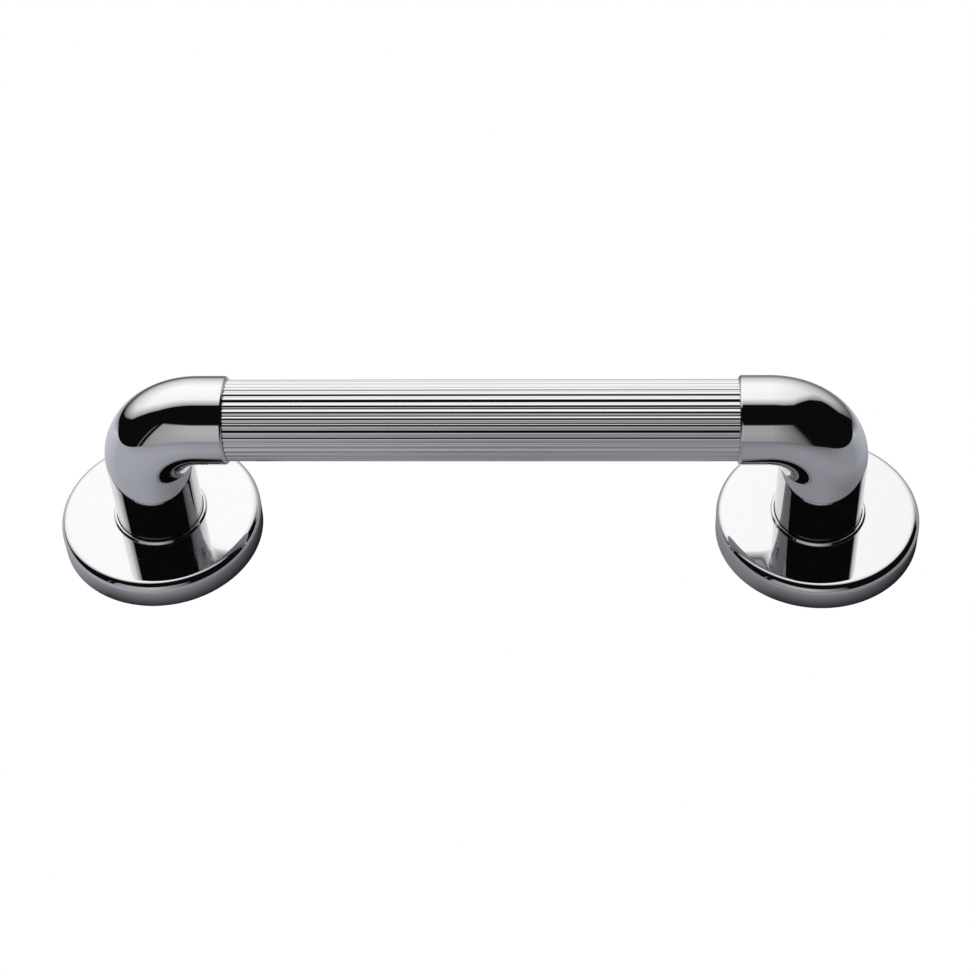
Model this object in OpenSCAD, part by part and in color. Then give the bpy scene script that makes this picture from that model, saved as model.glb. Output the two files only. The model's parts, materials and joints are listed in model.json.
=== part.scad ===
// Wall-fixed grab rail: a reeded tube held between two round elbows, each elbow
// standing on a screwed base plate that a sliding round cover hides.
// The rail lies along X, the wall is the plane z = 0, and +Z points away from the wall.

/* [Rail] */
// Distance between the two posts' axes
post_spacing = 293; // [260:1:600]
// Height of the tube's axis above the wall
axis_height = 72.7; // [71:0.1:90]

/* [Reeded tube] */
// Diameter over the reeds
tube_d = 35; // [34:0.1:35.2]
// Number of reeds round the tube
reed_count = 36; // [34:1:40]
// Radius of each reed's round crest
reed_r = 1.6; // [1.5:0.05:1.8]
// Depth of the hollows between the reeds
reed_depth = 0.46; // [0.4:0.02:0.6]
// Turn of the first reed from straight out of the wall
reed_turn = 1.15; // [-5:0.05:5]
// Inside diameter of the tube
tube_bore_d = 31.2; // [30:0.1:31.6]

/* [Elbows] */
// Outside diameter of the post, the bend and the collar
elbow_d = 38.4; // [38.2:0.1:39]
// Radius of the bend, measured to its centreline
bend_r = 24.4; // [22:0.1:26]
// Length of the straight collar from the bend to its mouth
collar_l = 13.1; // [12:0.1:18]
// Rounding of the collar's mouth
mouth_round = 1.4; // [0.6:0.1:1.5]
// Inside diameter of the post and the bend
elbow_bore_d = 32.4; // [32:0.1:33]
// Depth of the socket that takes the tube
socket_depth = 12.5; // [11:0.1:13]

/* [Covers] */
// Outside diameter of the cover
cover_d = 89.5; // [88.5:0.1:96]
// Height of the cover's flat face above the wall
cover_h = 13.6; // [12.5:0.1:16]
// Rounding between the cover's face and its side
cover_round = 3.9; // [2:0.1:4.5]
// Wall thickness of the cover
cover_wall = 1.8; // [1.2:0.1:2]
// Diameter of the bead round the neck
bead_d = 41.8; // [41.6:0.1:44]
// Height of the bead above the cover's face
bead_h = 1.3; // [1.2:0.1:2]
// Gap between the cover's rim and the wall
cover_lift = 0.3; // [0.2:0.1:1]

/* [Base plates] */
// Diameter of the base plate
plate_d = 82; // [80:0.5:82]
// Thickness of the base plate
plate_t = 4; // [3.5:0.1:4.5]
// Thickness of the gasket between the plate and the wall
gasket_t = 1; // [0.5:0.1:1.5]
// Height of the stub that fits inside the post
stub_h = 12; // [10:0.5:16]
// Diameter of the circle that the fixing holes lie on
fixing_pcd = 62; // [58:1:66]
// Diameter of each fixing hole
fixing_d = 5.5; // [4.5:0.1:6]

/* [Hidden] */
$fn = 96;
left = -1;
right = 1;
cut = 1;                    // how far a cutting shape runs past the solid

// Reeded tube
reed_pitch = 360 / reed_count;
reed_centre_r = tube_d / 2 - reed_r;
hollow_r = tube_d / 2 - reed_depth;
seal_t = 1;
mouth_x = -bend_r - collar_l;             // in the post's own frame, outboard is +X
socket_end_x = mouth_x + socket_depth;
tube_end_x = socket_end_x - seal_t;
tube_l = post_spacing + 2 * tube_end_x;

// Elbow
elbow_r = elbow_d / 2;
elbow_bore_r = elbow_bore_d / 2;
bend_z = axis_height - bend_r;
socket_r = tube_d / 2 + 0.15;

// Collar screw: a low head fills a hole in the collar, the shank threads into the plug
screw_x = mouth_x + socket_depth / 2;
screw_head_r = 3.3;
screw_head_top = elbow_r - 0.35;
screw_head_bottom = tube_d / 2 + 0.05;
screw_shank_r = 1.95;
screw_tip = 11.5;
head_hole_r = screw_head_r + 0.3;
shank_hole_r = screw_shank_r + 0.25;
thread_gap = 0.05;

// End plug
plug_r = tube_bore_d / 2 - 0.05;
plug_bore_r = 10.5;
plug_l = 22;

// Base plate
plate_r = plate_d / 2;
plate_top = gasket_t + plate_t;
stub_r = elbow_bore_r - 0.15;
stub_bore_r = 12.5;
rim_groove_h = 2;
rim_groove_depth = 2;
sink_depth = 2.6;
fixing_count = 3;

// Grub screws: one on each side of the post, tips in dimples of the stub
grub_z = plate_top + 6;
grub_r = 2.45;
grub_tip = stub_r - 1;
grub_outer = elbow_r - 0.15;
hex_r = 1.45;

// Cover, with a hub inside that carries the grip ring
cover_r = cover_d / 2;
neck_r = elbow_r + 0.3;
hub_r = 23.5;
hub_bottom = 7;
ring_groove_z = 8.2;
ring_groove_h = 2.6;
ring_groove_r = 21.3;
fit_gap = 0.05;
bead_r = bead_d / 2;
bead_top = cover_h + bead_h;
bead_round = 1;

// Mirrors the right-hand piece to the left and stands it on its post
module at_post(side) {
    mirror([side < 0 ? 1 : 0, 0, 0])
        translate([post_spacing / 2, 0, 0])
            children();
}

// Turns a shape drawn along +Z to lie inboard along the tube's axis
module along_tube() {
    translate([0, 0, axis_height])
        rotate([0, -90, 0])
            children();
}

// Stands a shape drawn along +Z on the tube's axis, pointing to the wall
module toward_wall(x) {
    translate([x, 0, axis_height])
        rotate([180, 0, 0])
            children();
}

// The sharp bit outside a rounding of radius r, for the corner at the origin, on the +X +Y side
module corner_waste(r) {
    difference() {
        translate([-r, -r])
            square(r + cut);
        translate([-r, -r])
            circle(r);
    }
}

// Quarter bend of a round bar, from the top of the post to the start of the collar
module quarter_bend(r) {
    translate([-bend_r, 0, bend_z])
        rotate([90, 0, 0])
            rotate_extrude(angle = 90)
                translate([bend_r, 0])
                    circle(r);
}

module fluted_tube() {
    color("silver")
    difference() {
        translate([-tube_l / 2, 0, axis_height])
            rotate([0, 90, 0])
                linear_extrude(tube_l)
                    rotate(180 + reed_turn)
                        reeded_section();
        for (side = [left, right])
            at_post(side)
                toward_wall(screw_x)
                    cylinder(h = tube_d, r = shank_hole_r);
    }
}

// Round crests side by side, with shallow hollows between them
module reeded_section() {
    difference() {
        union() {
            circle(hollow_r);
            for (i = [0 : reed_count - 1])
                rotate(i * reed_pitch)
                    translate([reed_centre_r, 0])
                        circle(reed_r);
        }
        circle(tube_bore_d / 2);
    }
}

module elbow(side) {
    color("lightsteelblue")
    at_post(side)
    difference() {
        union() {
            translate([0, 0, plate_top])
                cylinder(h = bend_z - plate_top, r = elbow_r);
            quarter_bend(elbow_r);
            collar_blank();
        }
        translate([0, 0, plate_top - cut])
            cylinder(h = bend_z - plate_top + cut, r = elbow_bore_r);
        quarter_bend(elbow_bore_r);
        along_tube()
            translate([0, 0, bend_r])
                cylinder(h = collar_l + cut, r = elbow_bore_r);
        along_tube()
            translate([0, 0, -socket_end_x])
                cylinder(h = socket_depth + cut, r = socket_r);
        toward_wall(screw_x)
            cylinder(h = elbow_d, r = head_hole_r);
        for (turn = [90, -90])
            rotate(turn)
                translate([stub_r, 0, grub_z])
                    rotate([0, 90, 0])
                        cylinder(h = elbow_r, r = grub_r + thread_gap);
    }
}

// Solid collar with its mouth rounded over
module collar_blank() {
    along_tube()
        translate([0, 0, bend_r])
            rotate_extrude()
                difference() {
                    square([elbow_r, collar_l]);
                    translate([elbow_r, collar_l])
                        corner_waste(mouth_round);
                }
}

// Washer at the bottom of the socket
module tube_seal(side) {
    color("dimgray")
    at_post(side)
    along_tube()
        translate([0, 0, -socket_end_x])
            difference() {
                cylinder(h = seal_t, r = socket_r - 0.15);
                translate([0, 0, -cut])
                    cylinder(h = seal_t + 2 * cut, r = elbow_bore_r);
            }
}

// Thick ring inside the tube's end, tapped for the collar screw
module end_plug(side) {
    color("ivory")
    at_post(side)
    difference() {
        along_tube()
            translate([0, 0, -tube_end_x])
                difference() {
                    cylinder(h = plug_l, r = plug_r);
                    translate([0, 0, -cut])
                        cylinder(h = plug_l + 2 * cut, r = plug_bore_r);
                }
        toward_wall(screw_x)
            cylinder(h = tube_d, r = screw_shank_r + thread_gap);
    }
}

module collar_screw(side) {
    color("gray")
    at_post(side)
    toward_wall(screw_x)
        difference() {
            union() {
                translate([0, 0, screw_tip])
                    cylinder(h = screw_head_bottom - screw_tip, r = screw_shank_r);
                translate([0, 0, screw_head_bottom])
                    cylinder(h = screw_head_top - screw_head_bottom, r = screw_head_r);
            }
            translate([0, 0, screw_head_top - 1])
                cylinder(h = 1 + cut, r = 1.15, $fn = 6);
        }
}

module base_plate(side) {
    color("darkgray")
    at_post(side)
    difference() {
        rotate_extrude()
            plate_section();
        for (i = [0 : fixing_count - 1])
            rotate(i * 360 / fixing_count)
                translate([fixing_pcd / 2, 0, 0])
                    fixing_hole();
        for (turn = [90, -90])
            rotate(turn)
                translate([grub_tip, 0, grub_z])
                    rotate([0, 90, 0])
                        cylinder(h = elbow_r, r = grub_r + 0.15);
    }
}

// Half section of the plate and its stub, with the groove for the snap ring
module plate_section() {
    difference() {
        union() {
            translate([stub_bore_r, gasket_t])
                square([plate_r - stub_bore_r, plate_t]);
            translate([stub_bore_r, gasket_t])
                square([stub_r - stub_bore_r, plate_t + stub_h]);
        }
        translate([plate_r - rim_groove_depth, gasket_t + (plate_t - rim_groove_h) / 2])
            square([rim_groove_depth + cut, rim_groove_h]);
    }
}

// Plain hole with a 90 degree countersink at the top
module fixing_hole() {
    translate([0, 0, gasket_t - cut])
        cylinder(h = plate_t + 2 * cut, d = fixing_d);
    translate([0, 0, plate_top - sink_depth])
        cylinder(h = sink_depth + cut, r1 = fixing_d / 2, r2 = fixing_d / 2 + sink_depth + cut);
}

module gasket(side) {
    color("black")
    at_post(side)
    difference() {
        cylinder(h = gasket_t, r = plate_r - 0.5);
        translate([0, 0, -cut])
            cylinder(h = gasket_t + 2 * cut, r = stub_bore_r);
        for (i = [0 : fixing_count - 1])
            rotate(i * 360 / fixing_count)
                translate([fixing_pcd / 2, 0, -cut])
                    cylinder(h = gasket_t + 2 * cut, d = fixing_d + 0.5);
    }
}

// Split ring in the plate's rim that steadies the cover's side wall
module snap_ring(side) {
    split = 12;
    inner_r = plate_r - rim_groove_depth + 0.2;
    color("whitesmoke")
    at_post(side)
    rotate(split / 2)
        rotate_extrude(angle = 360 - split)
            translate([inner_r, gasket_t + (plate_t - rim_groove_h) / 2 + fit_gap])
                square([cover_r - cover_wall - 2 * fit_gap - inner_r, rim_groove_h - 2 * fit_gap]);
}

module grub_screws(side) {
    color("gray")
    at_post(side)
    for (turn = [90, -90])
        rotate(turn)
            translate([grub_tip + 0.1, 0, grub_z])
                rotate([0, 90, 0])
                    difference() {
                        cylinder(h = grub_outer - grub_tip - 0.1, r = grub_r);
                        translate([0, 0, grub_outer - grub_tip - 2.1])
                            cylinder(h = 2 + cut, r = hex_r, $fn = 6);
                    }
}

// Ring in the cover's hub that grips the post
module grip_ring(side) {
    color("dimgray")
    at_post(side)
    translate([0, 0, ring_groove_z + fit_gap])
        difference() {
            cylinder(h = ring_groove_h - 2 * fit_gap, r = ring_groove_r - fit_gap);
            translate([0, 0, -cut])
                cylinder(h = ring_groove_h + 2 * cut, r = elbow_r + fit_gap);
        }
}

module cover(side) {
    color("lightsteelblue")
    at_post(side)
    rotate_extrude()
        cover_section();
}

// Half section of the cover: dished shell, hub with its groove, and the bead at the neck
module cover_section() {
    shell_r = cover_r - cover_wall;
    inner_round = max(cover_round - cover_wall, 0.5);
    difference() {
        union() {
            difference() {
                translate([neck_r, cover_lift])
                    square([cover_r - neck_r, cover_h - cover_lift]);
                translate([cover_r, cover_h])
                    corner_waste(cover_round);
            }
            bead_section();
        }
        difference() {
            translate([hub_r, -cut])
                square([shell_r - hub_r, cover_h - cover_wall + cut]);
            translate([shell_r, cover_h - cover_wall])
                corner_waste(inner_round);
        }
        translate([neck_r - cut, -cut])
            square([hub_r - neck_r + 2 * cut, hub_bottom + cut]);
        translate([neck_r - cut, ring_groove_z])
            square([ring_groove_r - neck_r + cut, ring_groove_h]);
    }
}

// Upstand round the post with its outer edge rounded over
module bead_section() {
    difference() {
        translate([neck_r, cover_h - cut])
            square([bead_r - neck_r, bead_h + cut]);
        translate([bead_r, bead_top])
            corner_waste(bead_round);
    }
}

fluted_tube();
elbow(left);  // left_elbow
elbow(right);  // right_elbow
tube_seal(left);  // left_tube_seal
tube_seal(right);  // right_tube_seal
end_plug(left);  // left_end_plug
end_plug(right);  // right_end_plug
collar_screw(left);  // left_collar_screw
collar_screw(right);  // right_collar_screw
base_plate(left);  // left_base_plate
base_plate(right);  // right_base_plate
gasket(left);  // left_gasket
gasket(right);  // right_gasket
snap_ring(left);  // left_snap_ring
snap_ring(right);  // right_snap_ring
grub_screws(left);  // left_grub_screws
grub_screws(right);  // right_grub_screws
grip_ring(left);  // left_grip_ring
grip_ring(right);  // right_grip_ring
cover(left);  // left_cover
cover(right);  // right_cover
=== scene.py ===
"""Looks for the grab rail: chrome shells, reeded tube and fixings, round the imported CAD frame."""
import json
import math

import bpy
from mathutils import Matrix, Vector
from mathutils.bvhtree import BVHTree
from mathutils.interpolate import poly_3d_calc


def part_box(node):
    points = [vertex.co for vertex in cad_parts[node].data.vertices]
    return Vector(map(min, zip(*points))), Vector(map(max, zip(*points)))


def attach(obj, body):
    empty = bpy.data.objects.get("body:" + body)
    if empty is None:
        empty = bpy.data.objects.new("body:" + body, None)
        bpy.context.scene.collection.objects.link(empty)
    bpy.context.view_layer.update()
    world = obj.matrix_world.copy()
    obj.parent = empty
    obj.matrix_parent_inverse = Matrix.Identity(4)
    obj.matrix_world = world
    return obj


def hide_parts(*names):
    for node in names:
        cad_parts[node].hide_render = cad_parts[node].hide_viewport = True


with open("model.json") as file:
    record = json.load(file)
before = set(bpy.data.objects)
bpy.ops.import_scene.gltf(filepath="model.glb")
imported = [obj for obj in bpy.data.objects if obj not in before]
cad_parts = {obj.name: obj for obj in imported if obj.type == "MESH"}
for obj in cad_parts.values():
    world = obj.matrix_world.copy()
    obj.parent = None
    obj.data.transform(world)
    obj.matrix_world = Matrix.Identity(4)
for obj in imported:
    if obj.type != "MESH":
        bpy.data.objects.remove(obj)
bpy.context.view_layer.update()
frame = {"record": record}

MM = 0.001
SIDES = {"left": -1, "right": 1}


# ---------------------------------------------------------------- sizes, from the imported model

def mount_point(name):
    """Where one of the record's mounts is."""
    return next(Vector(m["pos_m"]) for m in frame["record"]["mounts"] if m["name"] == name)


tube_low, tube_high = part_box("fluted_tube")
elbow_low, elbow_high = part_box("right_elbow")
cover_low, cover_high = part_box("right_cover")

POST_X = mount_point("right_fixing_holes").x
TUBE_END = tube_high.x
TUBE_R = (tube_high.y - tube_low.y) / 2
AXIS_Z = (tube_high.z + tube_low.z) / 2
ELBOW_R = elbow_high.z - AXIS_Z
POST_FOOT = elbow_low.z
MOUTH_X = elbow_low.x
COVER_R = cover_high.x - POST_X
COVER_RIM = cover_low.z
BEAD_TOP = cover_high.z

BEND_R = 24.4 * MM
BEND_Z = AXIS_Z - BEND_R
BORE_R = 16.2 * MM
SOCKET_R = 17.65 * MM
SOCKET_DEPTH = 12.5 * MM
MOUTH_ROUND = 1.4 * MM

REEDS = 36
REED_R = 1.6 * MM
REED_TURN = math.radians(1.15)
HOLLOW_R = 17.03 * MM        # the bottom of the hollows between reeds
VALLEY_ROUND = 1.0 * MM
TUBE_BORE_R = 15.6 * MM

COVER_FACE = BEAD_TOP - 1.3 * MM
COVER_ROUND = 3.9 * MM
COVER_WALL = 1.8 * MM
BEAD_R = 20.9 * MM
BEAD_SLOPE_W = 0.65 * MM
BEAD_SLOPE_H = 1.0 * MM
NECK_R = 19.5 * MM
HUB_R = 23.5 * MM
HUB_FOOT = 7.0 * MM
GROOVE_LOW = 8.2 * MM
GROOVE_HIGH = 10.8 * MM
GROOVE_R = 21.3 * MM

PLATE_R = 41.0 * MM
PLATE_FOOT = 1.0 * MM
PLATE_TOP = 5.0 * MM
STUB_R = 16.05 * MM
STUB_BORE_R = 12.5 * MM
STUB_TOP = 17.0 * MM
RIM_GROOVE_LOW = 2.0 * MM
RIM_GROOVE_HIGH = 4.0 * MM
RIM_GROOVE_R = 39.0 * MM
GASKET_R = 40.5 * MM
FIXING_R = 31.0 * MM
FIXING_HOLE_R = 2.75 * MM
SINK_DEPTH = 2.6 * MM
GASKET_HOLE_R = 3.0 * MM
GRUB_Z = 11.0 * MM
GRUB_HOLE_R = 2.5 * MM
DIMPLE_R = 2.6 * MM
DIMPLE_FLOOR = 15.05 * MM
COLLAR_SCREW_X = 115.25 * MM
HEAD_HOLE_R = 3.6 * MM
CUT_END = 24 * MM        # radial holes are cut out to here, clear of the elbow
CUT_PAST = 2 * MM        # how far a cutter stands past a flat face


# ---------------------------------------------------------------- materials

def add_node(tree, kind, inputs=(), **settings):
    """A new node, with its settings, and its inputs linked to sockets or set to values."""
    node = tree.nodes.new(kind)
    for name, value in settings.items():
        setattr(node, name, value)
    for key, value in dict(inputs).items():
        if isinstance(value, bpy.types.NodeSocket):
            tree.links.new(value, node.inputs[key])
        else:
            node.inputs[key].default_value = value
    return node


def calc(tree, operation, a, b=0.0, c=0.0):
    """One step of arithmetic on sockets or numbers."""
    return add_node(tree, "ShaderNodeMath", {0: a, 1: b, 2: c}, operation=operation).outputs[0]


def total(tree, *terms):
    """The sum of several sockets or numbers."""
    result = terms[0]
    for term in terms[1:]:
        result = calc(tree, "ADD", result, term)
    return result


def product(tree, *factors):
    """The product of several sockets or numbers."""
    result = factors[0]
    for factor in factors[1:]:
        result = calc(tree, "MULTIPLY", result, factor)
    return result


def hypotenuse(tree, x, y):
    """How far the point (x, y) is from the origin."""
    return calc(tree, "SQRT", calc(tree, "MULTIPLY_ADD", x, x, product(tree, y, y)))


def ramp(tree, value, start, end, low, high, shape):
    """Goes from low to high while value goes from start to end."""
    inputs = {"Value": value, "From Min": start, "From Max": end, "To Min": low, "To Max": high}
    return add_node(tree, "ShaderNodeMapRange", inputs, interpolation_type=shape).outputs["Result"]


def fade(tree, value, start, end, low=0.0, high=1.0):
    """A ramp with soft ends."""
    return ramp(tree, value, start, end, low, high, "SMOOTHSTEP")


def ease(tree, value, start, end, low=0.0, high=1.0):
    """A straight ramp."""
    return ramp(tree, value, start, end, low, high, "LINEAR")


def object_xyz(tree):
    """The place on the piece, as three sockets in metres."""
    place = add_node(tree, "ShaderNodeTexCoord").outputs["Object"]
    return add_node(tree, "ShaderNodeSeparateXYZ", {0: place}).outputs


def from_post(tree, x, y):
    """How far (x, y) is from the axis of the nearer post."""
    x = calc(tree, "SUBTRACT", calc(tree, "ABSOLUTE", x), POST_X)
    return hypotenuse(tree, x, y)


def principled(name, color, metallic, roughness):
    """A material with these uniform values."""
    material = bpy.data.materials.new(name)
    material.use_nodes = True
    shader = material.node_tree.nodes["Principled BSDF"]
    shader.inputs["Base Color"].default_value = (*color, 1)
    shader.inputs["Metallic"].default_value = metallic
    shader.inputs["Roughness"].default_value = roughness
    return material


def dress(piece, *materials):
    """Gives a piece its materials, in slot order."""
    piece.data.materials.clear()
    for material in materials:
        piece.data.materials.append(material)


def noise(tree, scale, detail=3.0, roughness=0.5, stretch=(1, 1, 1), turn=(0, 0, 0)):
    """Noise from 0 to 1 fixed to the piece. scale is in waves per metre. turn comes before stretch."""
    place = add_node(tree, "ShaderNodeTexCoord").outputs["Object"]
    place = add_node(tree, "ShaderNodeMapping", {"Vector": place, "Rotation": turn}).outputs[0]
    place = add_node(tree, "ShaderNodeMapping", {"Vector": place, "Scale": stretch}).outputs[0]
    inputs = {"Vector": place, "Scale": scale, "Detail": detail, "Roughness": roughness}
    return add_node(tree, "ShaderNodeTexNoise", inputs).outputs[0]


def blend_colors(tree, factor, low, high):
    """Goes from one colour to another as factor goes from 0 to 1."""
    node = tree.nodes.new("ShaderNodeMix")
    node.data_type = "RGBA"
    colors = [socket for socket in node.inputs if socket.type == "RGBA"]
    for socket, color in zip(colors, (low, high)):
        socket.default_value = (*color, 1)
    tree.links.new(factor, node.inputs["Factor"])
    return next(socket for socket in node.outputs if socket.type == "RGBA")


def set_surface(material, color=None, roughness=None, height=None, depth=0.0):
    """Links a material's colour, roughness and bump. depth is how far a height of 1 stands up."""
    tree = material.node_tree
    shader = tree.nodes["Principled BSDF"]
    if color is not None:
        tree.links.new(color, shader.inputs["Base Color"])
    if roughness is not None:
        tree.links.new(roughness, shader.inputs["Roughness"])
    if height is not None:
        bump = add_node(tree, "ShaderNodeBump", {"Height": height, "Distance": depth})
        tree.links.new(bump.outputs[0], shader.inputs["Normal"])


def chrome_plate(name, tint, dull_at=None, grain=None):
    """Mirror plate: a slow wave, a thin film from hands, wiping marks inside it and a few dried drops.

    dull_at(tree) gives where the plate is dull, from 0 to 1, and grain is the stretch of its draw marks.
    """
    material = principled(name, tint, 1.0, 0.03)
    tree = material.node_tree
    film = fade(tree, noise(tree, 38, 5, 0.6), 0.50, 0.78)
    wipes = fade(tree, noise(tree, 26, 4, 0.6, (1, 1, 34), (0.7, 0.35, 0)), 0.56, 0.70)
    crossing = fade(tree, noise(tree, 22, 4, 0.6, (1, 40, 1), (0.2, 0.9, 0.5)), 0.58, 0.70)
    wipes = product(tree, calc(tree, "MAXIMUM", wipes, crossing), film)
    place = add_node(tree, "ShaderNodeTexCoord").outputs["Object"]
    cells = add_node(tree, "ShaderNodeTexVoronoi", {"Vector": place, "Scale": 85.0})
    spot = fade(tree, cells.outputs["Distance"], 0.10, 0.16, 1.0, 0.0)
    ring = product(tree, spot, fade(tree, cells.outputs["Distance"], 0.03, 0.13))
    rare = fade(tree, noise(tree, 24, 1, 0.5), 0.60, 0.66)
    drops = product(tree, ring, rare)
    dull = dull_at(tree) if dull_at else product(tree, film, 0.2)
    roughness = total(
        tree, 0.03,
        product(tree, film, 0.05),
        product(tree, wipes, 0.09),
        product(tree, drops, 0.10),
        product(tree, dull, 0.16),
    )
    wear = total(tree, product(tree, film, 0.10), product(tree, drops, 0.12), dull)
    worn_tint = tuple(c * share for c, share in zip(tint, (0.80, 0.79, 0.76)))
    color = blend_colors(tree, wear, tint, worn_tint)
    height = noise(tree, 42, 1, 0.4)
    if grain:
        height = calc(tree, "MULTIPLY_ADD", noise(tree, 1, 2, 0.5, grain), 0.05, height)
    set_surface(material, color, roughness, height, 0.02 * MM)
    return material


def near_rim(tree):
    """Limescale in a thin, broken line along the cover's foot and in the corner round its bead."""
    x, y, z = object_xyz(tree)
    foot = fade(tree, z, 0.6 * MM, 1.5 * MM, 0.5, 0.0)
    by_bead = fade(tree, from_post(tree, x, y), BEAD_R, BEAD_R + 0.8 * MM, 0.35, 0.0)
    on_face = fade(tree, z, COVER_FACE - 0.8 * MM, COVER_FACE - 0.3 * MM)
    corner = product(tree, by_bead, on_face)
    broken = fade(tree, noise(tree, 160, 4, 0.6), 0.35, 0.65)
    return product(tree, calc(tree, "MAXIMUM", foot, corner), broken)


def in_hollows(tree):
    """Thin dullness at the bottom of the hollows between the reeds, where no cloth reaches."""
    _, y, z = object_xyz(tree)
    out = hypotenuse(tree, calc(tree, "SUBTRACT", z, AXIS_Z), y)
    low = fade(tree, out, HOLLOW_R, HOLLOW_R + 0.13 * MM, 0.30, 0.0)
    return product(tree, low, ease(tree, noise(tree, 60, 4, 0.6), 0.3, 0.7, 0.4, 1.0))


def at_edges(tree):
    """Handling wear round the elbow's mouth."""
    x = calc(tree, "ABSOLUTE", object_xyz(tree)[0])
    mouth = fade(tree, x, MOUTH_X, MOUTH_X + 1.0 * MM, 0.25, 0.0)
    return product(tree, mouth, fade(tree, noise(tree, 220, 4, 0.6), 0.4, 0.6))


def zinc_plate():
    """Bright zinc on a turned steel plate: tool rings, cloudy passivation and a few rubbed marks."""
    material = principled("zinc_plated_steel", (0.55, 0.56, 0.57), 1.0, 0.3)
    tree = material.node_tree
    x, y, _ = object_xyz(tree)
    ringed = add_node(tree, "ShaderNodeCombineXYZ", {0: from_post(tree, x, y)}).outputs[0]
    inputs = {"Vector": ringed, "Scale": 2600.0, "Detail": 3.0}
    rings = add_node(tree, "ShaderNodeTexNoise", inputs).outputs[0]
    cloud = fade(tree, noise(tree, 70, 4, 0.6), 0.35, 0.68)
    rubbed = fade(tree, noise(tree, 40, 4, 0.6, (1, 28, 1), (0, 0, 0.6)), 0.60, 0.68)
    color = blend_colors(tree, cloud, (0.54, 0.56, 0.60), (0.60, 0.58, 0.52))
    roughness = total(
        tree, 0.18,
        product(tree, rings, 0.14),
        product(tree, cloud, 0.07),
        product(tree, rubbed, 0.08),
    )
    set_surface(material, color, roughness, rings, 0.006 * MM)
    return material


def plain_metal(name, low, high, grain, rough, depth):
    """Unpolished metal with two mixed tones, an uneven sheen and a fine grain."""
    material = principled(name, low, 1.0, rough)
    tree = material.node_tree
    tone = fade(tree, noise(tree, 150, 5, 0.6), 0.35, 0.65)
    skin = noise(tree, grain, 4, 0.6)
    color = blend_colors(tree, tone, low, high)
    roughness = total(tree, rough - 0.10, product(tree, skin, 0.2), product(tree, tone, 0.06))
    set_surface(material, color, roughness, skin, depth)
    return material


def moulded(name, low, high, grain, rough, depth):
    """Moulded plastic or rubber with a fine skin, uneven sheen and a little dust."""
    material = principled(name, low, 0.0, rough)
    tree = material.node_tree
    dust = fade(tree, noise(tree, 90, 5, 0.65), 0.42, 0.75)
    skin = noise(tree, grain, 4, 0.6)
    color = blend_colors(tree, dust, low, high)
    roughness = total(tree, rough - 0.08, product(tree, skin, 0.12), product(tree, dust, 0.10))
    set_surface(material, color, roughness, skin, depth)
    return material


def closed_foam():
    """Skinned black foam: small closed cells, with pale scuffs on the high walls between them."""
    material = principled("foam_gasket", (0.05, 0.05, 0.055), 0.0, 0.85)
    tree = material.node_tree
    place = add_node(tree, "ShaderNodeTexCoord").outputs["Object"]
    inputs = {"Vector": place, "Scale": 1300.0}
    cells = add_node(tree, "ShaderNodeTexVoronoi", inputs).outputs["Distance"]
    scuffs = fade(tree, noise(tree, 120, 5, 0.65), 0.45, 0.75)
    walls = product(tree, fade(tree, cells, 0.30, 0.75), calc(tree, "MULTIPLY_ADD", scuffs, 0.7, 0.3))
    color = blend_colors(tree, walls, (0.032, 0.032, 0.036), (0.11, 0.11, 0.115))
    roughness = total(tree, 0.72, product(tree, walls, 0.2))
    set_surface(material, color, roughness, cells, 0.12 * MM)
    return material


CHROME_TINT = (0.66, 0.66, 0.665)
reeded_chrome = chrome_plate("reeded_chrome", CHROME_TINT, in_hollows, (6, 1500, 1500))
elbow_chrome = chrome_plate("elbow_chrome", CHROME_TINT, at_edges)
cover_chrome = chrome_plate("cover_chrome", CHROME_TINT, near_rim)
elbow_bore = plain_metal("elbow_bore", (0.40, 0.39, 0.37), (0.50, 0.49, 0.47), 900, 0.42, 0.05 * MM)
zinc = zinc_plate()
screw_steel = plain_metal("plated_screw", (0.44, 0.45, 0.46), (0.52, 0.52, 0.51), 1600, 0.32, 0.01 * MM)
nylon = moulded("white_nylon", (0.80, 0.79, 0.74), (0.70, 0.68, 0.61), 1500, 0.46, 0.012 * MM)
nylon_shader = nylon.node_tree.nodes["Principled BSDF"]
nylon_shader.inputs["Subsurface Weight"].default_value = 0.15
nylon_shader.inputs["Subsurface Scale"].default_value = 1.0 * MM
rubber = moulded("black_rubber", (0.028, 0.028, 0.029), (0.075, 0.072, 0.068), 1100, 0.62, 0.02 * MM)
foam = closed_foam()


# ---------------------------------------------------------------- turned and swept shells

TINY = 1e-7        # closer than this along or out, two places are the same
SAME = 1e-9        # shorter than this, a span is left out


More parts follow.
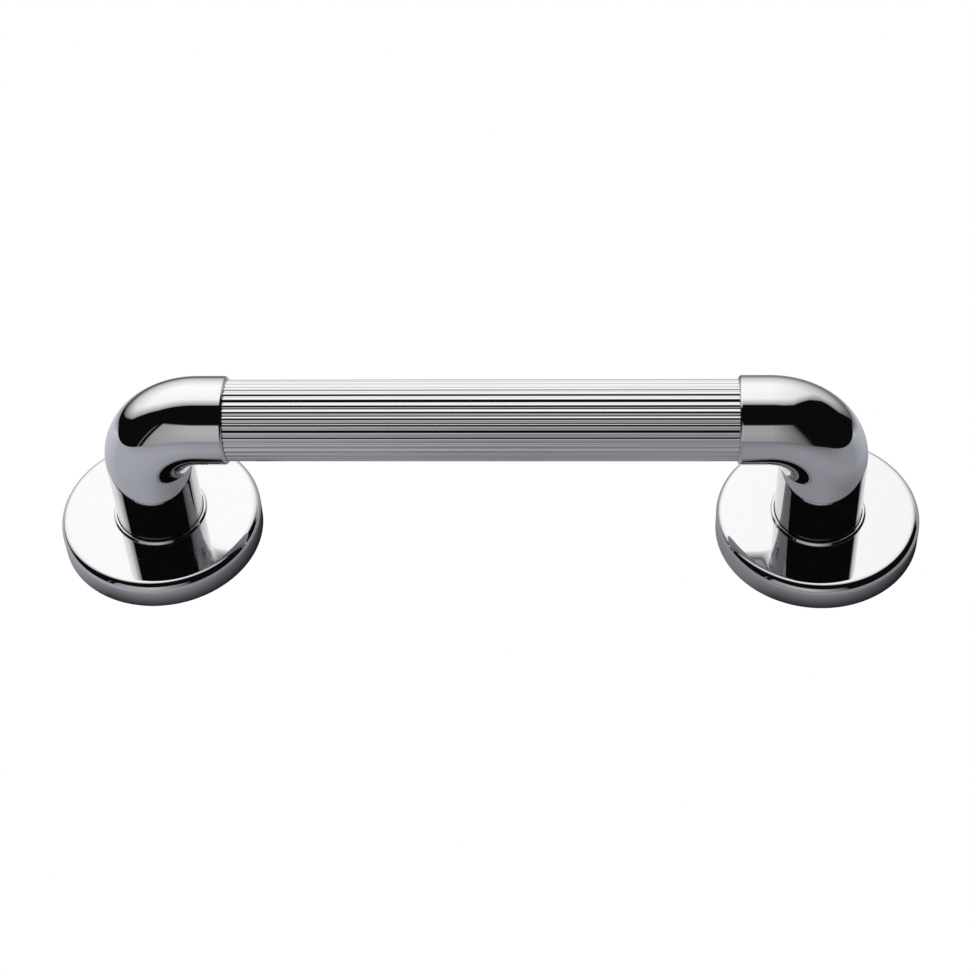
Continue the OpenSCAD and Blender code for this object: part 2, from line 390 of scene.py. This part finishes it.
def rounded_outline(corners):
    """A closed outline in the (along, out) plane, walked once round.

    corners are (along, out, rounding). Returns spans, each ((point, normal), (point, normal)), where the
    normals point to the right of the walk.
    """
    steps = 8
    count = len(corners)
    arcs = []
    for i, (along, out, rounding) in enumerate(corners):
        here = Vector((along, out))
        before = (Vector(corners[i - 1][:2]) - here).normalized()
        after = (Vector(corners[(i + 1) % count][:2]) - here).normalized()
        normal_in = Vector((-before.y, before.x))
        normal_out = Vector((after.y, -after.x))
        if rounding <= 0:
            arcs.append([(here, normal_in), (here, normal_out)])
            continue
        half = before.angle(after) / 2
        setback = rounding / math.tan(half)
        centre = here + (before + after).normalized() * (rounding / math.sin(half))
        start = here + before * setback
        outward = 1 if (start - centre).dot(normal_in) > 0 else -1
        turn = normal_in.angle_signed(normal_out)
        arc = []
        for k in range(steps + 1):
            normal = normal_in.copy()
            normal.rotate(Matrix.Rotation(-turn * k / steps, 2))
            arc.append((centre + normal * (outward * rounding), normal))
        arcs.append(arc)
    spans = []
    for i, arc in enumerate(arcs):
        spans += [(a, b) for a, b in zip(arc, arc[1:]) if (a[0] - b[0]).length > SAME]
        following = arcs[(i + 1) % count][0]
        if (arc[-1][0] - following[0]).length > SAME:
            spans.append((arc[-1], following))
    return spans


def split_spans(spans, stations):
    """Cuts each span where it passes one of these stations along the centreline."""
    pieces = []
    for (p, n), (q, m) in spans:
        inside = [s for s in stations if min(p.x, q.x) + TINY < s < max(p.x, q.x) - TINY]
        inside.sort(reverse=q.x < p.x)
        ends = [(p, n)]
        for s in inside:
            t = (s - p.x) / (q.x - p.x)
            ends.append((p.lerp(q, t), n.lerp(m, t).normalized()))
        ends.append((q, m))
        pieces += list(zip(ends, ends[1:]))
    return pieces


def mesh_piece(name, points, faces, face_normals):
    """A mesh object with the exact normal of the true surface at each face corner."""
    mesh = bpy.data.meshes.new(name)
    mesh.from_pydata(points, [], faces)
    mesh.polygons.foreach_set("use_smooth", [True] * len(faces))
    mesh.normals_split_custom_set([n for corner in face_normals for n in corner])
    mesh.validate()
    mesh.update()
    piece = bpy.data.objects.new(name, mesh)
    bpy.context.scene.collection.objects.link(piece)
    return piece


def six_sided(a):
    """The radius of a hexagon at angle a, as a share of its corner radius."""
    return math.cos(math.pi / 6) / math.cos(a % (math.pi / 3) - math.pi / 6)


def revolved(name, spans, place, around=192, hex_r=0.0, gap=0.0):
    """Sweeps an outline round a centreline. place(along) gives (centre, tangent, side, up) there.

    Points of the outline no further out than hex_r lie on a hexagon. gap is an angle left open at the
    side direction, with flat ends.
    """
    points = []
    index = {}
    faces = []
    normals = []
    per_ring = around + 1 if gap else around
    angles = [gap / 2 + (2 * math.pi - gap) * k / around for k in range(per_ring)]

    def ring(point):
        key = (round(point.x, 8), round(point.y, 8))
        if key not in index:
            centre, _, side, up = place(point.x)
            index[key] = len(points)
            for a in angles:
                out = point.y * (six_sided(a) if point.y <= hex_r + TINY else 1)
                points.append(centre + (side * math.cos(a) + up * math.sin(a)) * out)
        return index[key]

    def normal_at(point, normal, k):
        _, tangent, side, up = place(point.x)
        a = angles[k]
        return (tangent * normal.x + (side * math.cos(a) + up * math.sin(a)) * normal.y).normalized()

    for (p, n), (q, m) in spans:
        if max(p.y, q.y) < TINY:
            continue
        if min(p.y, q.y) < TINY:
            rim = ring(p if q.y < TINY else q)
            tangent = place(p.x)[1] * (1 if n.x > 0 else -1)
            loop = list(range(rim, rim + around))
            faces.append(loop if n.x > 0 else loop[::-1])
            normals.append((tangent,) * around)
            continue
        first, second = ring(p), ring(q)
        for k in range(around):
            j = (k + 1) % per_ring
            face = (first + k, second + k, second + j, first + j)
            faces.append(face)
            if min(p.y, q.y) <= hex_r + TINY:
                edge = points[face[1]] - points[face[0]]
                next_edge = points[face[2]] - points[face[1]]
                normals.append((edge.cross(next_edge).normalized(),) * 4)
            else:
                corners = ((p, n, k), (q, m, k), (q, m, j), (p, n, j))
                normals.append(tuple(normal_at(*corner) for corner in corners))
    if gap:
        for k, way in ((0, -1), (around, 1)):
            _, _, side, up = place(spans[0][0][0].x)
            facing = (up * math.cos(angles[k]) - side * math.sin(angles[k])) * way
            loop = [ring(p) + k for (p, _), _ in spans][::way]
            faces.append(loop)
            normals.append((facing,) * len(loop))
    return mesh_piece(name, points, faces, normals)


def upright(x, y=0, sign=1):
    """A straight centreline up from the wall at this x and y. Its side direction is along sign * X."""
    def place(along):
        centre = Vector((x, y, along))
        return centre, Vector((0, 0, 1)), Vector((sign, 0, 0)), Vector((0, sign, 0))
    return place


def toward_wall(x):
    """A centreline from the tube's axis to the wall."""
    def place(along):
        centre = Vector((x, 0, AXIS_Z - along))
        return centre, Vector((0, 0, -1)), Vector((1, 0, 0)), Vector((0, -1, 0))
    return place


def out_of_post(x, way):
    """A centreline from the post's axis along way * Y, at the height of the grub screws."""
    def place(along):
        centre = Vector((x, way * along, GRUB_Z))
        return centre, Vector((0, way, 0)), Vector((0, 0, 1)), Vector((way, 0, 0))
    return place


def along_tube(sign):
    """A centreline along the tube's axis, from its middle to one end."""
    def place(along):
        centre = Vector((sign * along, 0, AXIS_Z))
        return centre, Vector((sign, 0, 0)), Vector((0, sign, 0)), Vector((0, 0, 1))
    return place


def drill(place, corners, around=64):
    """A solid to cut with, whose outline starts and ends on the centreline."""
    return revolved("drill", rounded_outline(corners), place, around)


def straight_hole(place, start, end, radius, around=64, floor_round=0.0):
    """A cylinder to cut with, from start to end along the centreline."""
    corners = [(end, 0, 0), (end, radius, 0), (start, radius, floor_round), (start, 0, 0)]
    return drill(place, corners, around)


def cut_away(piece, cutters):
    """Cuts solids out of a piece. Each face keeps the exact normals of the surface it comes from."""
    sources = [(piece.data, 1)] + [(cutter.data, -1) for cutter in cutters]
    surfaces = []
    for mesh, way in sources:
        points = [vertex.co for vertex in mesh.vertices]
        faces = [tuple(face.vertices) for face in mesh.polygons]
        surfaces.append((BVHTree.FromPolygons(points, faces), mesh, way))
    for cutter in cutters:
        cut = piece.modifiers.new("cut", "BOOLEAN")
        cut.operation = "DIFFERENCE"
        cut.solver = "EXACT"
        cut.object = cutter
    bpy.context.view_layer.update()
    shape = bpy.data.meshes.new_from_object(piece.evaluated_get(bpy.context.evaluated_depsgraph_get()))
    piece.modifiers.clear()
    normals = [None] * len(shape.loops)
    for face in shape.polygons:
        face.use_smooth = True
        nearest = []
        for tree, mesh, way in surfaces:
            _, _, found, distance = tree.find_nearest(face.center)
            nearest.append((distance, found, mesh, way))
        _, found, mesh, way = min(nearest, key=lambda hit: hit[0])
        source = mesh.polygons[found]
        corners = [mesh.vertices[v].co for v in source.vertices]
        known = [Vector(mesh.corner_normals[i].vector) for i in source.loop_indices]
        for i, vertex in zip(face.loop_indices, face.vertices):
            weights = poly_3d_calc(corners, shape.vertices[vertex].co)
            normal = sum((n * w for n, w in zip(known, weights)), Vector())
            normals[i] = normal.normalized() * way
    shape.normals_split_custom_set(normals)
    piece.data = shape
    for cutter in cutters:
        bpy.data.objects.remove(cutter)
    return piece


# ---------------------------------------------------------------- pieces

BEND_LENGTH = BEND_R * math.pi / 2
COLLAR_START = BEND_Z + BEND_LENGTH


def keep(piece, body, node):
    """Puts the piece on the body it rides on and hides the CAD part it takes the place of."""
    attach(piece, body)
    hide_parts(node)
    return piece


def elbow_line(sign):
    """The elbow's centreline: up the post, round the bend, then inboard along the collar."""
    def place(along):
        if along <= BEND_Z:
            turned = 0.0
            centre = Vector((POST_X, 0, along))
        elif along < COLLAR_START:
            turned = (along - BEND_Z) / BEND_R
            inboard = BEND_R - BEND_R * math.cos(turned)
            centre = Vector((POST_X - inboard, 0, BEND_Z + BEND_R * math.sin(turned)))
        else:
            turned = math.pi / 2
            centre = Vector((POST_X - BEND_R - (along - COLLAR_START), 0, AXIS_Z))
        tangent = Vector((-math.sin(turned), 0, math.cos(turned)))
        side = Vector((math.cos(turned), 0, math.sin(turned)))
        if sign < 0:
            centre.x, tangent.x, side.x = -centre.x, -tangent.x, -side.x
        return centre, tangent, side, Vector((0, sign, 0))
    return place


def make_elbow(side, sign):
    """The cast elbow: polished outside, raw inside, with its screw holes."""
    mouth = COLLAR_START + (POST_X - BEND_R - MOUTH_X)
    shoulder = mouth - SOCKET_DEPTH
    corners = [
        (POST_FOOT, ELBOW_R, 0.3 * MM),
        (POST_FOOT, BORE_R, 0.3 * MM),
        (shoulder, BORE_R, 0.1 * MM),
        (shoulder, SOCKET_R, 0.1 * MM),
        (mouth, SOCKET_R, 0.15 * MM),
        (mouth, ELBOW_R, MOUTH_ROUND),
    ]
    bend_steps = 40
    stations = [BEND_Z + BEND_LENGTH * k / bend_steps for k in range(bend_steps + 1)]
    spans = split_spans(rounded_outline(corners), stations)
    around = 192
    piece = revolved(f"{side}_elbow_shell", spans, elbow_line(sign), around)
    dress(piece, elbow_chrome, elbow_bore)
    widest_bore = SOCKET_R + 0.01 * MM
    for i, ((p, n), (q, _)) in enumerate(spans):
        if max(p.y, q.y) < widest_bore and n.y < 0:
            for k in range(around):
                piece.data.polygons[i * around + k].material_index = 1
    head_start, grub_start = 15 * MM, 14 * MM
    cutters = [straight_hole(toward_wall(sign * COLLAR_SCREW_X), head_start, CUT_END, HEAD_HOLE_R)]
    for way in (-1, 1):
        cutters.append(straight_hole(out_of_post(sign * POST_X, way), grub_start, CUT_END, GRUB_HOLE_R))
    cut_away(piece, cutters)
    return keep(piece, "root", f"{side}_elbow")


def make_cover(side, sign):
    """The sliding cover, one turned shell from its rim over the hub and bead to its shoulder."""
    inner_r = COVER_R - COVER_WALL
    ceiling = COVER_FACE - COVER_WALL
    corners = [
        (COVER_RIM, COVER_R, 0.4 * MM),
        (COVER_RIM, inner_r, 0.4 * MM),
        (ceiling, inner_r, COVER_ROUND - COVER_WALL),
        (ceiling, HUB_R, 0.8 * MM),
        (HUB_FOOT, HUB_R, 0.4 * MM),
        (HUB_FOOT, NECK_R, 0.4 * MM),
        (GROOVE_LOW, NECK_R, 0.1 * MM),
        (GROOVE_LOW, GROOVE_R, 0.1 * MM),
        (GROOVE_HIGH, GROOVE_R, 0.1 * MM),
        (GROOVE_HIGH, NECK_R, 0.1 * MM),
        (BEAD_TOP, NECK_R, 0.05 * MM),
        (BEAD_TOP, BEAD_R - BEAD_SLOPE_W, 0.3 * MM),
        (BEAD_TOP - BEAD_SLOPE_H, BEAD_R, 0.2 * MM),
        (COVER_FACE, BEAD_R, 0.05 * MM),
        (COVER_FACE, COVER_R, COVER_ROUND),
    ]
    piece = revolved(f"{side}_cover_shell", rounded_outline(corners), upright(sign * POST_X), around=256)
    dress(piece, cover_chrome)
    return keep(piece, f"{side}_cover", f"{side}_cover")


def reeded_section():
    """Points and normals round the tube: convex crests with small hollows between them."""
    crest_steps = 14
    hollow_steps = 10
    pitch = 2 * math.pi / REEDS
    centre_r = TUBE_R - REED_R
    across = centre_r * math.sin(pitch / 2)
    reach = math.sqrt((REED_R + VALLEY_ROUND) ** 2 - across ** 2)
    hollow_r = centre_r * math.cos(pitch / 2) + reach
    half_crest = math.atan2(across, reach) + pitch / 2
    half_hollow = math.atan2(across, reach)
    section = []
    for i in range(REEDS):
        turn = i * pitch + REED_TURN
        crest = Vector((math.cos(turn), math.sin(turn))) * centre_r
        for k in range(crest_steps + 1):
            a = turn + half_crest * (2 * k / crest_steps - 1)
            normal = Vector((math.cos(a), math.sin(a)))
            section.append((crest + normal * REED_R, normal))
        between = turn + pitch / 2
        hollow = Vector((math.cos(between), math.sin(between))) * hollow_r
        for k in range(1, hollow_steps):
            a = between + half_hollow * (1 - 2 * k / hollow_steps)
            normal = Vector((math.cos(a), math.sin(a)))
            section.append((hollow - normal * VALLEY_ROUND, normal))
    return section


def make_tube():
    """The reeded tube, with a round bore and flat ends."""
    section = reeded_section()
    count = len(section)
    lengths = 12
    end = lengths * count
    left_face, right_face = Vector((-1, 0, 0)), Vector((1, 0, 0))
    points = []
    faces = []
    normals = []

    def spot(along, flat):
        return Vector((along, -flat.y, AXIS_Z + flat.x))

    def turned(flat):
        return Vector((0, -flat.y, flat.x))

    for i in range(lengths + 1):
        along = -TUBE_END + 2 * TUBE_END * i / lengths
        points += [spot(along, p) for p, _ in section]
    bore_start = len(points)
    for along in (-TUBE_END, TUBE_END):
        points += [spot(along, p.normalized() * TUBE_BORE_R) for p, _ in section]
    for k in range(count):
        j = (k + 1) % count
        outer_k, outer_j = turned(section[k][1]), turned(section[j][1])
        inner_k = -turned(section[k][0].normalized())
        inner_j = -turned(section[j][0].normalized())
        for i in range(lengths):
            a, b = i * count, (i + 1) * count
            faces.append((a + j, b + j, b + k, a + k))
            normals.append((outer_j, outer_j, outer_k, outer_k))
        a, b = bore_start, bore_start + count
        faces.append((a + k, b + k, b + j, a + j))
        normals.append((inner_k, inner_k, inner_j, inner_j))
        faces.append((a + k, a + j, j, k))
        normals.append((left_face,) * 4)
        faces.append((b + j, b + k, end + k, end + j))
        normals.append((right_face,) * 4)
    piece = mesh_piece("reeded_tube_shell", points, faces, normals)
    dress(piece, reeded_chrome)
    return keep(piece, "root", "fluted_tube")


def fixing_spots(sign):
    """Where the wall screws go on one base plate."""
    for i in range(3):
        a = 2 * math.pi * i / 3
        yield sign * (POST_X + FIXING_R * math.cos(a)), FIXING_R * math.sin(a)


def make_base_plate(side, sign):
    """The plate against the wall, with its stub, rim groove, countersinks and dimples."""
    corners = [
        (PLATE_FOOT, PLATE_R, 0.3 * MM),
        (PLATE_FOOT, STUB_BORE_R, 0.5 * MM),
        (STUB_TOP, STUB_BORE_R, 0.6 * MM),
        (STUB_TOP, STUB_R, 0.9 * MM),
        (PLATE_TOP, STUB_R, 0.1 * MM),
        (PLATE_TOP, PLATE_R, 0.35 * MM),
        (RIM_GROOVE_HIGH, PLATE_R, 0.15 * MM),
        (RIM_GROOVE_HIGH, RIM_GROOVE_R, 0.2 * MM),
        (RIM_GROOVE_LOW, RIM_GROOVE_R, 0.2 * MM),
        (RIM_GROOVE_LOW, PLATE_R, 0.15 * MM),
    ]
    piece = revolved(f"{side}_fixing_plate", rounded_outline(corners), upright(sign * POST_X), 160)
    dress(piece, zinc)
    sink_r = FIXING_HOLE_R + SINK_DEPTH
    outline = [
        (PLATE_TOP + CUT_PAST, 0, 0),
        (PLATE_TOP + CUT_PAST, sink_r + CUT_PAST, 0),
        (PLATE_TOP - SINK_DEPTH, FIXING_HOLE_R, 0.25 * MM),
        (-CUT_PAST, FIXING_HOLE_R, 0),
        (-CUT_PAST, 0, 0),
    ]
    cutters = [drill(upright(x, y), outline) for x, y in fixing_spots(sign)]
    for way in (-1, 1):
        place = out_of_post(sign * POST_X, way)
        cutters.append(straight_hole(place, DIMPLE_FLOOR, CUT_END, DIMPLE_R, 40, floor_round=0.3 * MM))
    cut_away(piece, cutters)
    return keep(piece, "root", f"{side}_base_plate")


def ring_corners(low, high, inner, outer, rounds):
    """A ring's outline. rounds are in mm: low outer corner, low inner, high inner, high outer."""
    corners = ((low, outer), (low, inner), (high, inner), (high, outer))
    return [(along, out, rounding * MM) for (along, out), rounding in zip(corners, rounds)]


def make_gasket(side, sign):
    """The foam gasket between plate and wall."""
    corners = ring_corners(0, PLATE_FOOT, STUB_BORE_R, GASKET_R, (0.3, 0.3, 0.2, 0.2))
    piece = revolved(f"{side}_wall_gasket", rounded_outline(corners), upright(sign * POST_X), 160)
    dress(piece, foam)
    start, end = -CUT_PAST, PLATE_FOOT + CUT_PAST
    places = [upright(x, y) for x, y in fixing_spots(sign)]
    cut_away(piece, [straight_hole(place, start, end, GASKET_HOLE_R) for place in places])
    return keep(piece, "root", f"{side}_gasket")


def make_snap_ring(side, sign):
    """The split ring in the plate's rim, open at the outboard side."""
    low, high = 2.05 * MM, 3.95 * MM
    inner, outer = 39.2 * MM, 42.85 * MM
    corners = ring_corners(low, high, inner, outer, (0.5, 0.3, 0.3, 0.7))
    place = upright(sign * POST_X, 0, sign)
    split = math.radians(12)
    piece = revolved(f"{side}_split_ring", rounded_outline(corners), place, 180, gap=split)
    dress(piece, nylon)
    return keep(piece, "root", f"{side}_snap_ring")


def make_grip_ring(side, sign):
    """The rubber ring in the cover's hub, which rides with the cover."""
    low, high = 8.25 * MM, 10.75 * MM
    inner, outer = 19.25 * MM, 21.25 * MM
    corners = ring_corners(low, high, inner, outer, (0.6, 0.8, 0.8, 0.6))
    piece = revolved(f"{side}_friction_ring", rounded_outline(corners), upright(sign * POST_X), 128)
    dress(piece, rubber)
    return keep(piece, f"{side}_ring", f"{side}_grip_ring")


def make_tube_seal(side, sign):
    """The rubber seal at the bottom of the elbow's socket."""
    low, high = TUBE_END, TUBE_END + 1 * MM
    inner, outer = 16.2 * MM, 17.5 * MM
    corners = ring_corners(low, high, inner, outer, (0.3, 0.3, 0.3, 0.3))
    piece = revolved(f"{side}_socket_seal", rounded_outline(corners), along_tube(sign), 96)
    dress(piece, rubber)
    return keep(piece, "root", f"{side}_tube_seal")


def make_end_plug(side, sign):
    """The nylon plug in the tube's end, with a pilot hole for the collar screw."""
    low, high = TUBE_END - 22 * MM, TUBE_END
    inner, outer = 10.5 * MM, 15.55 * MM
    corners = ring_corners(low, high, inner, outer, (1.2, 0.5, 0.8, 0.5))
    piece = revolved(f"{side}_screw_plug", rounded_outline(corners), along_tube(sign), 96)
    dress(piece, nylon)
    pilot_start, pilot_end, pilot_r = 6 * MM, 20 * MM, 2 * MM
    place = toward_wall(sign * COLLAR_SCREW_X)
    cut_away(piece, [straight_hole(place, pilot_start, pilot_end, pilot_r, 32)])
    return keep(piece, "root", f"{side}_end_plug")


def threaded(start, end, radius, pitch):
    """Corners down a thread's crests and roots, from start to end."""
    corners = []
    for i in range(int((start - end) / pitch)):
        crest = start - i * pitch
        corners += [(crest, radius, 0.06 * MM), (crest - pitch / 2, radius - 0.55 * pitch, 0.06 * MM)]
    return corners


def make_collar_screw(side, sign):
    """The hexagon-socket screw through the collar, on the wall side."""
    top, under, tip = 18.85 * MM, 17.55 * MM, 11.5 * MM
    head_r, shank_r, hex_r = 3.3 * MM, 1.95 * MM, 1.15 * MM
    corners = [
        (top - 1 * MM, 0, 0),
        (top - 1 * MM, hex_r, 0),
        (top - 0.15 * MM, hex_r, 0),
        (top, hex_r + 0.2 * MM, 0.05 * MM),
        (top, head_r, 0.35 * MM),
        (under, head_r, 0.15 * MM),
        (under, shank_r, 0.1 * MM),
        *threaded(under - 0.8 * MM, tip + 0.4 * MM, shank_r, 0.7 * MM),
        (tip, shank_r - 0.5 * MM, 0.1 * MM),
        (tip, 0, 0),
    ]
    place = toward_wall(sign * COLLAR_SCREW_X)
    piece = revolved(f"{side}_collar_hex_screw", rounded_outline(corners), place, 72, hex_r)
    dress(piece, screw_steel)
    return keep(piece, "root", f"{side}_collar_screw")


def make_grub_screws(side, sign):
    """The two grub screws that hold the post to the plate's stub."""
    top, tip = 19.05 * MM, 15.15 * MM
    screw_r, hex_r = 2.45 * MM, 1.45 * MM
    corners = [
        (top - 2 * MM, 0, 0),
        (top - 2 * MM, hex_r, 0),
        (top - 0.15 * MM, hex_r, 0),
        (top, hex_r + 0.2 * MM, 0.05 * MM),
        (top, screw_r - 0.35 * MM, 0.1 * MM),
        (top - 0.35 * MM, screw_r, 0.06 * MM),
        *threaded(top - 0.7 * MM, tip + 0.4 * MM, screw_r, 0.8 * MM),
        (tip, screw_r - 0.7 * MM, 0.1 * MM),
        (tip, 0, 0),
    ]
    for way, where in ((-1, "front"), (1, "back")):
        place = out_of_post(sign * POST_X, way)
        piece = revolved(f"{side}_{where}_grub_screw", rounded_outline(corners), place, 72, hex_r)
        dress(piece, screw_steel)
        keep(piece, "root", f"{side}_grub_screws")


make_tube()
for side, sign in SIDES.items():
    for make in (make_elbow, make_cover, make_base_plate, make_gasket, make_snap_ring, make_grip_ring,
                 make_tube_seal, make_end_plug, make_collar_screw, make_grub_screws):
        make(side, sign)


# ---------------------------------------------------------------- studio

def add_camera():
    """The photograph's viewing angle, fitted to the rail's outlines."""
    data = bpy.data.cameras.new("camera")
    camera = bpy.data.objects.new("camera", data)
    bpy.context.scene.collection.objects.link(camera)
    pitch, yaw, roll = math.radians(49.0996), math.radians(-4.5648), math.radians(-3.4143)
    place = Vector((0.05557, -0.69867, 0.83929))
    ahead = math.cos(pitch)
    forward = Vector((math.sin(yaw) * ahead, math.cos(yaw) * ahead, -math.sin(pitch)))
    level = forward.cross(Vector((0, 0, 1))).normalized()
    above = level.cross(forward)
    right = level * math.cos(roll) + above * math.sin(roll)
    up = above * math.cos(roll) - level * math.sin(roll)
    camera.matrix_world = Matrix((
        (right.x, up.x, -forward.x, place.x),
        (right.y, up.y, -forward.y, place.y),
        (right.z, up.z, -forward.z, place.z),
        (0, 0, 0, 1),
    ))
    data.sensor_width = 36
    data.lens = 90.17
    data.clip_start = 0.01
    data.clip_end = 50
    bpy.context.scene.camera = camera


def add_studio():
    """A white tent above and behind, a dark camera side, and a grey card low in front."""
    world = bpy.data.worlds.new("studio")
    bpy.context.scene.world = world
    world.use_nodes = True
    tree = world.node_tree
    background = tree.nodes["Background"]
    toward = add_node(tree, "ShaderNodeTexCoord").outputs["Generated"]
    x, y, z = add_node(tree, "ShaderNodeSeparateXYZ", {0: toward}).outputs

    # the tent's front edge, as how far back it starts in each direction
    left_edge = calc(tree, "MAXIMUM", calc(tree, "MULTIPLY_ADD", z, -1.2, 0.45),
                     calc(tree, "MULTIPLY_ADD", z, -0.4, 0.25))
    right_edge = calc(tree, "MULTIPLY_ADD", z, -0.40, calc(tree, "MULTIPLY_ADD", x, 0.35, 0.23))
    far_right = product(tree, ease(tree, x, 0.43, 0.63, 0.0, 0.24), fade(tree, z, 0.10, 0.45))
    right_edge = total(tree, right_edge, far_right)
    rightness = fade(tree, x, -0.10, 0.10)
    difference = calc(tree, "SUBTRACT", right_edge, left_edge)
    edge = calc(tree, "MULTIPLY_ADD", difference, rightness, left_edge)
    edge = calc(tree, "MAXIMUM", edge, product(tree, z, -0.06))
    inside = calc(tree, "SUBTRACT", y, edge)

    # how bright it is: more behind its front edge, less to the right and less low down
    tent = total(tree, ease(tree, inside, 0.0, 0.3, 0.38, 1.35), ease(tree, inside, 0.3, 0.7, 0.0, 0.10))
    tent = product(tree, tent, fade(tree, inside, -0.012, 0.03))
    tent = product(tree, tent, ease(tree, x, 0.0, 0.6, 1.0, 0.78))
    falloff = total(tree, ease(tree, z, -0.26, 0.0, 0.20, 0.60), ease(tree, z, 0.0, 0.5, 0.0, 0.40))
    tent = product(tree, tent, falloff)

    # the grey card, with a thin strip of light past its left edge
    ahead = product(tree, y, -1.0)
    slope = calc(tree, "DIVIDE", x, calc(tree, "MAXIMUM", ahead, 0.001))
    card = product(tree, fade(tree, slope, -1.06, -0.97), fade(tree, slope, 0.6, 0.42))
    card = product(tree, card, fade(tree, z, 0.59, 0.53))
    card = product(tree, card, ease(tree, z, -0.15, 0.2, 0.83, 1.0))
    rise = ease(tree, slope, -1.0, -0.2, 0.40, 0.62)
    fall = ease(tree, slope, -0.1, 0.45, 0.0, 0.43)
    across = calc(tree, "SUBTRACT", rise, fall)
    card = product(tree, card, across)
    strip = product(tree, fade(tree, slope, -1.30, -1.24), fade(tree, slope, -1.18, -1.24))
    strip = product(tree, strip, fade(tree, z, 0.53, 0.40, 0.0, 0.25))
    card = product(tree, total(tree, card, strip), fade(tree, ahead, 0.0, 0.1))

    light = total(tree, calc(tree, "MAXIMUM", tent, card), 0.005)
    seen = add_node(tree, "ShaderNodeLightPath").outputs["Is Camera Ray"]
    light = calc(tree, "MAXIMUM", light, seen)
    tree.links.new(light, background.inputs["Color"])


def bare_material(name):
    """A material with an empty node tree."""
    material = bpy.data.materials.new(name)
    material.use_nodes = True
    material.node_tree.nodes.clear()
    return material


def flat_sheet(name, low, high, z):
    """A flat stage sheet between two corners."""
    mesh = bpy.data.meshes.new(name)
    corners = [(low[0], low[1], z), (high[0], low[1], z), (high[0], high[1], z), (low[0], high[1], z)]
    mesh.from_pydata(corners, [], [(0, 1, 2, 3)])
    sheet = bpy.data.objects.new(name, mesh)
    bpy.context.scene.collection.objects.link(sheet)
    return sheet


def add_floor():
    """The pale floor that the camera sees, clear from below, and the floor as the chrome sees it."""
    reach = 6.0
    pale = flat_sheet("floor", (-reach, -reach), (reach, reach), -0.5 * MM)
    pale.visible_glossy = False
    material = bare_material("pale_floor")
    tree = material.node_tree
    glow = add_node(tree, "ShaderNodeEmission", {"Color": (1, 1, 1, 1), "Strength": 1.0}).outputs[0]
    clear = add_node(tree, "ShaderNodeBsdfTransparent").outputs[0]
    under = add_node(tree, "ShaderNodeNewGeometry").outputs["Backfacing"]
    surface = add_node(tree, "ShaderNodeMixShader", {0: under, 1: glow, 2: clear}).outputs[0]
    add_node(tree, "ShaderNodeOutputMaterial", {"Surface": surface})
    pale.data.materials.append(material)

    near_left, far_right = (-0.64, -0.52), (0.60, 0.20)
    mirrored = flat_sheet("floor_in_chrome", near_left, far_right, -1 * MM)
    mirrored.visible_camera = False
    mirrored.visible_diffuse = False
    mirrored.visible_shadow = False
    material = bare_material("floor_in_chrome")
    tree = material.node_tree
    place = add_node(tree, "ShaderNodeNewGeometry").outputs["Position"]
    px, py, _ = add_node(tree, "ShaderNodeSeparateXYZ", {0: place}).outputs
    # painted light: this sheet glows as the lit floor would look in reflections, with painted bands of
    # brighter and darker floor and painted shade, and only the chrome sees it
    level = ease(tree, py, -0.45, -0.12, 0.27, 0.45)
    level = total(tree, level, ease(tree, py, -0.03, 0.10, 0.0, 0.25))
    level = product(tree, level, ease(tree, py, 0.10, 0.18, 1.0, 0.35))
    level = total(tree, level, ease(tree, px, -0.3, 0.3, 0.10, -0.08))
    # the rail shades the floor in front of its middle
    middle = ease(tree, calc(tree, "ABSOLUTE", px), 0.02, 0.17, 0.30, 0.0)
    middle = product(tree, middle, fade(tree, py, -0.40, -0.20))
    level = product(tree, level, calc(tree, "SUBTRACT", 1.0, middle))
    # each cover shades the floor close round it
    for sign in SIDES.values():
        dx = calc(tree, "SUBTRACT", px, sign * POST_X)
        away = hypotenuse(tree, dx, py)
        clear = ease(tree, away, COVER_R, COVER_R + 10 * MM)
        shade = calc(tree, "SUBTRACT", 1.0, calc(tree, "POWER", clear, 1.5))
        shade = product(tree, shade, ease(tree, dx, -0.9 * COVER_R, -0.5 * COVER_R, 0.30, 0.96))
        level = product(tree, level, calc(tree, "SUBTRACT", 1.0, shade))
        nearby = ease(tree, away, COVER_R, COVER_R + 60 * MM, 1.0, 0.0)
        darker = product(tree, nearby, ease(tree, dx, 0.0, COVER_R, 0.08, 0.45))
        level = product(tree, level, calc(tree, "SUBTRACT", 1.0, darker))
    red = product(tree, level, 0.98)
    blue = product(tree, level, 1.10)
    color = add_node(tree, "ShaderNodeCombineXYZ", {0: red, 1: level, 2: blue}).outputs[0]
    glow = add_node(tree, "ShaderNodeEmission", {"Color": color, "Strength": 1.0})
    output = add_node(tree, "ShaderNodeOutputMaterial")
    tree.links.new(glow.outputs[0], output.inputs["Surface"])
    mirrored.data.materials.append(material)


add_camera()
add_studio()
add_floor()
bpy.context.scene.view_settings.view_transform = "Standard"
